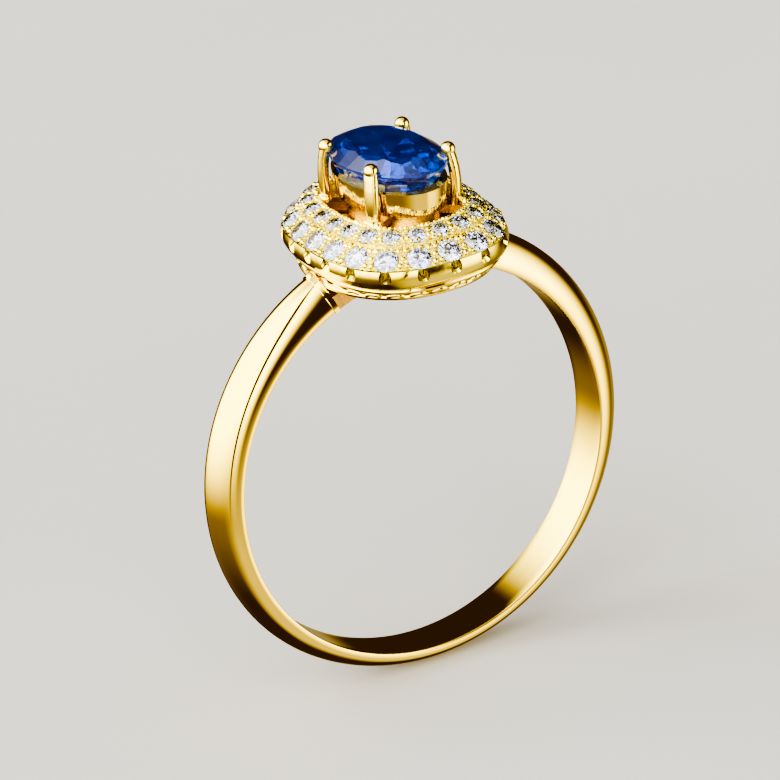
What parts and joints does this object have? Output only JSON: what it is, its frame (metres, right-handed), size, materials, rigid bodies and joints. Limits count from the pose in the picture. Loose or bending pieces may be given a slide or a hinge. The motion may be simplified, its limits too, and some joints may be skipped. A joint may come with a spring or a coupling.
{
  "type": "engagement ring",
  "caption": "Yellow gold ring with an oval blue stone in four claws above two stepped rows of small colourless stones.",
  "frame": {"origin": "centre of the finger hole", "axes": "+Y along the finger, +Z from the finger hole's centre up through the head, +X across the hoop"},
  "size_m": [0.019, 0.0096, 0.0226],
  "materials": {
    "shank_gold": "high polish yellow gold",
    "head_gold": "high polish yellow gold",
    "sapphire": "faceted and polished, royal blue",
    "diamond": "faceted and polished, colourless"
  },
  "bodies": {
    "root": {"shank": "shank_gold", "shoulder_collar_left": "shank_gold", "shoulder_collar_right": "shank_gold", "head_bridge": "shank_gold", "collet_seat": "head_gold", "gallery_lower_rail": "head_gold", "gallery_upper_rail": "head_gold", "gallery_arches": "head_gold", "outer_halo_tier": "head_gold", "inner_halo_tier": "head_gold", "collet": "head_gold", "collet_cone": "head_gold", "collet_bridges": "head_gold", "claw_front_left": "head_gold", "claw_front_right": "head_gold", "claw_back_left": "head_gold", "claw_back_right": "head_gold", "sapphire": "sapphire", "outer_diamond_01": "diamond", "outer_diamond_02": "diamond", "outer_diamond_03": "diamond", "outer_diamond_04": "diamond", "outer_diamond_05": "diamond", "outer_diamond_06": "diamond", "outer_diamond_07": "diamond", "outer_diamond_08": "diamond", "outer_diamond_09": "diamond", "outer_diamond_10": "diamond", "outer_diamond_11": "diamond", "outer_diamond_12": "diamond", "outer_diamond_13": "diamond", "outer_diamond_14": "diamond", "outer_diamond_15": "diamond", "outer_diamond_16": "diamond", "outer_diamond_17": "diamond", "outer_diamond_18": "diamond", "outer_diamond_19": "diamond", "outer_diamond_20": "diamond", "inner_diamond_01": "diamond", "inner_diamond_02": "diamond", "inner_diamond_03": "diamond", "inner_diamond_04": "diamond", "inner_diamond_05": "diamond", "inner_diamond_06": "diamond", "inner_diamond_07": "diamond", "inner_diamond_08": "diamond", "inner_diamond_09": "diamond", "inner_diamond_10": "diamond", "inner_diamond_11": "diamond", "inner_diamond_12": "diamond", "inner_diamond_13": "diamond", "inner_diamond_14": "diamond", "inner_diamond_15": "diamond", "inner_diamond_16": "diamond", "inner_diamond_17": "diamond", "inner_diamond_18": "diamond", "inner_diamond_19": "diamond", "inner_diamond_20": "diamond", "inner_diamond_21": "diamond", "inner_diamond_22": "diamond"}
  },
  "joints": []
}
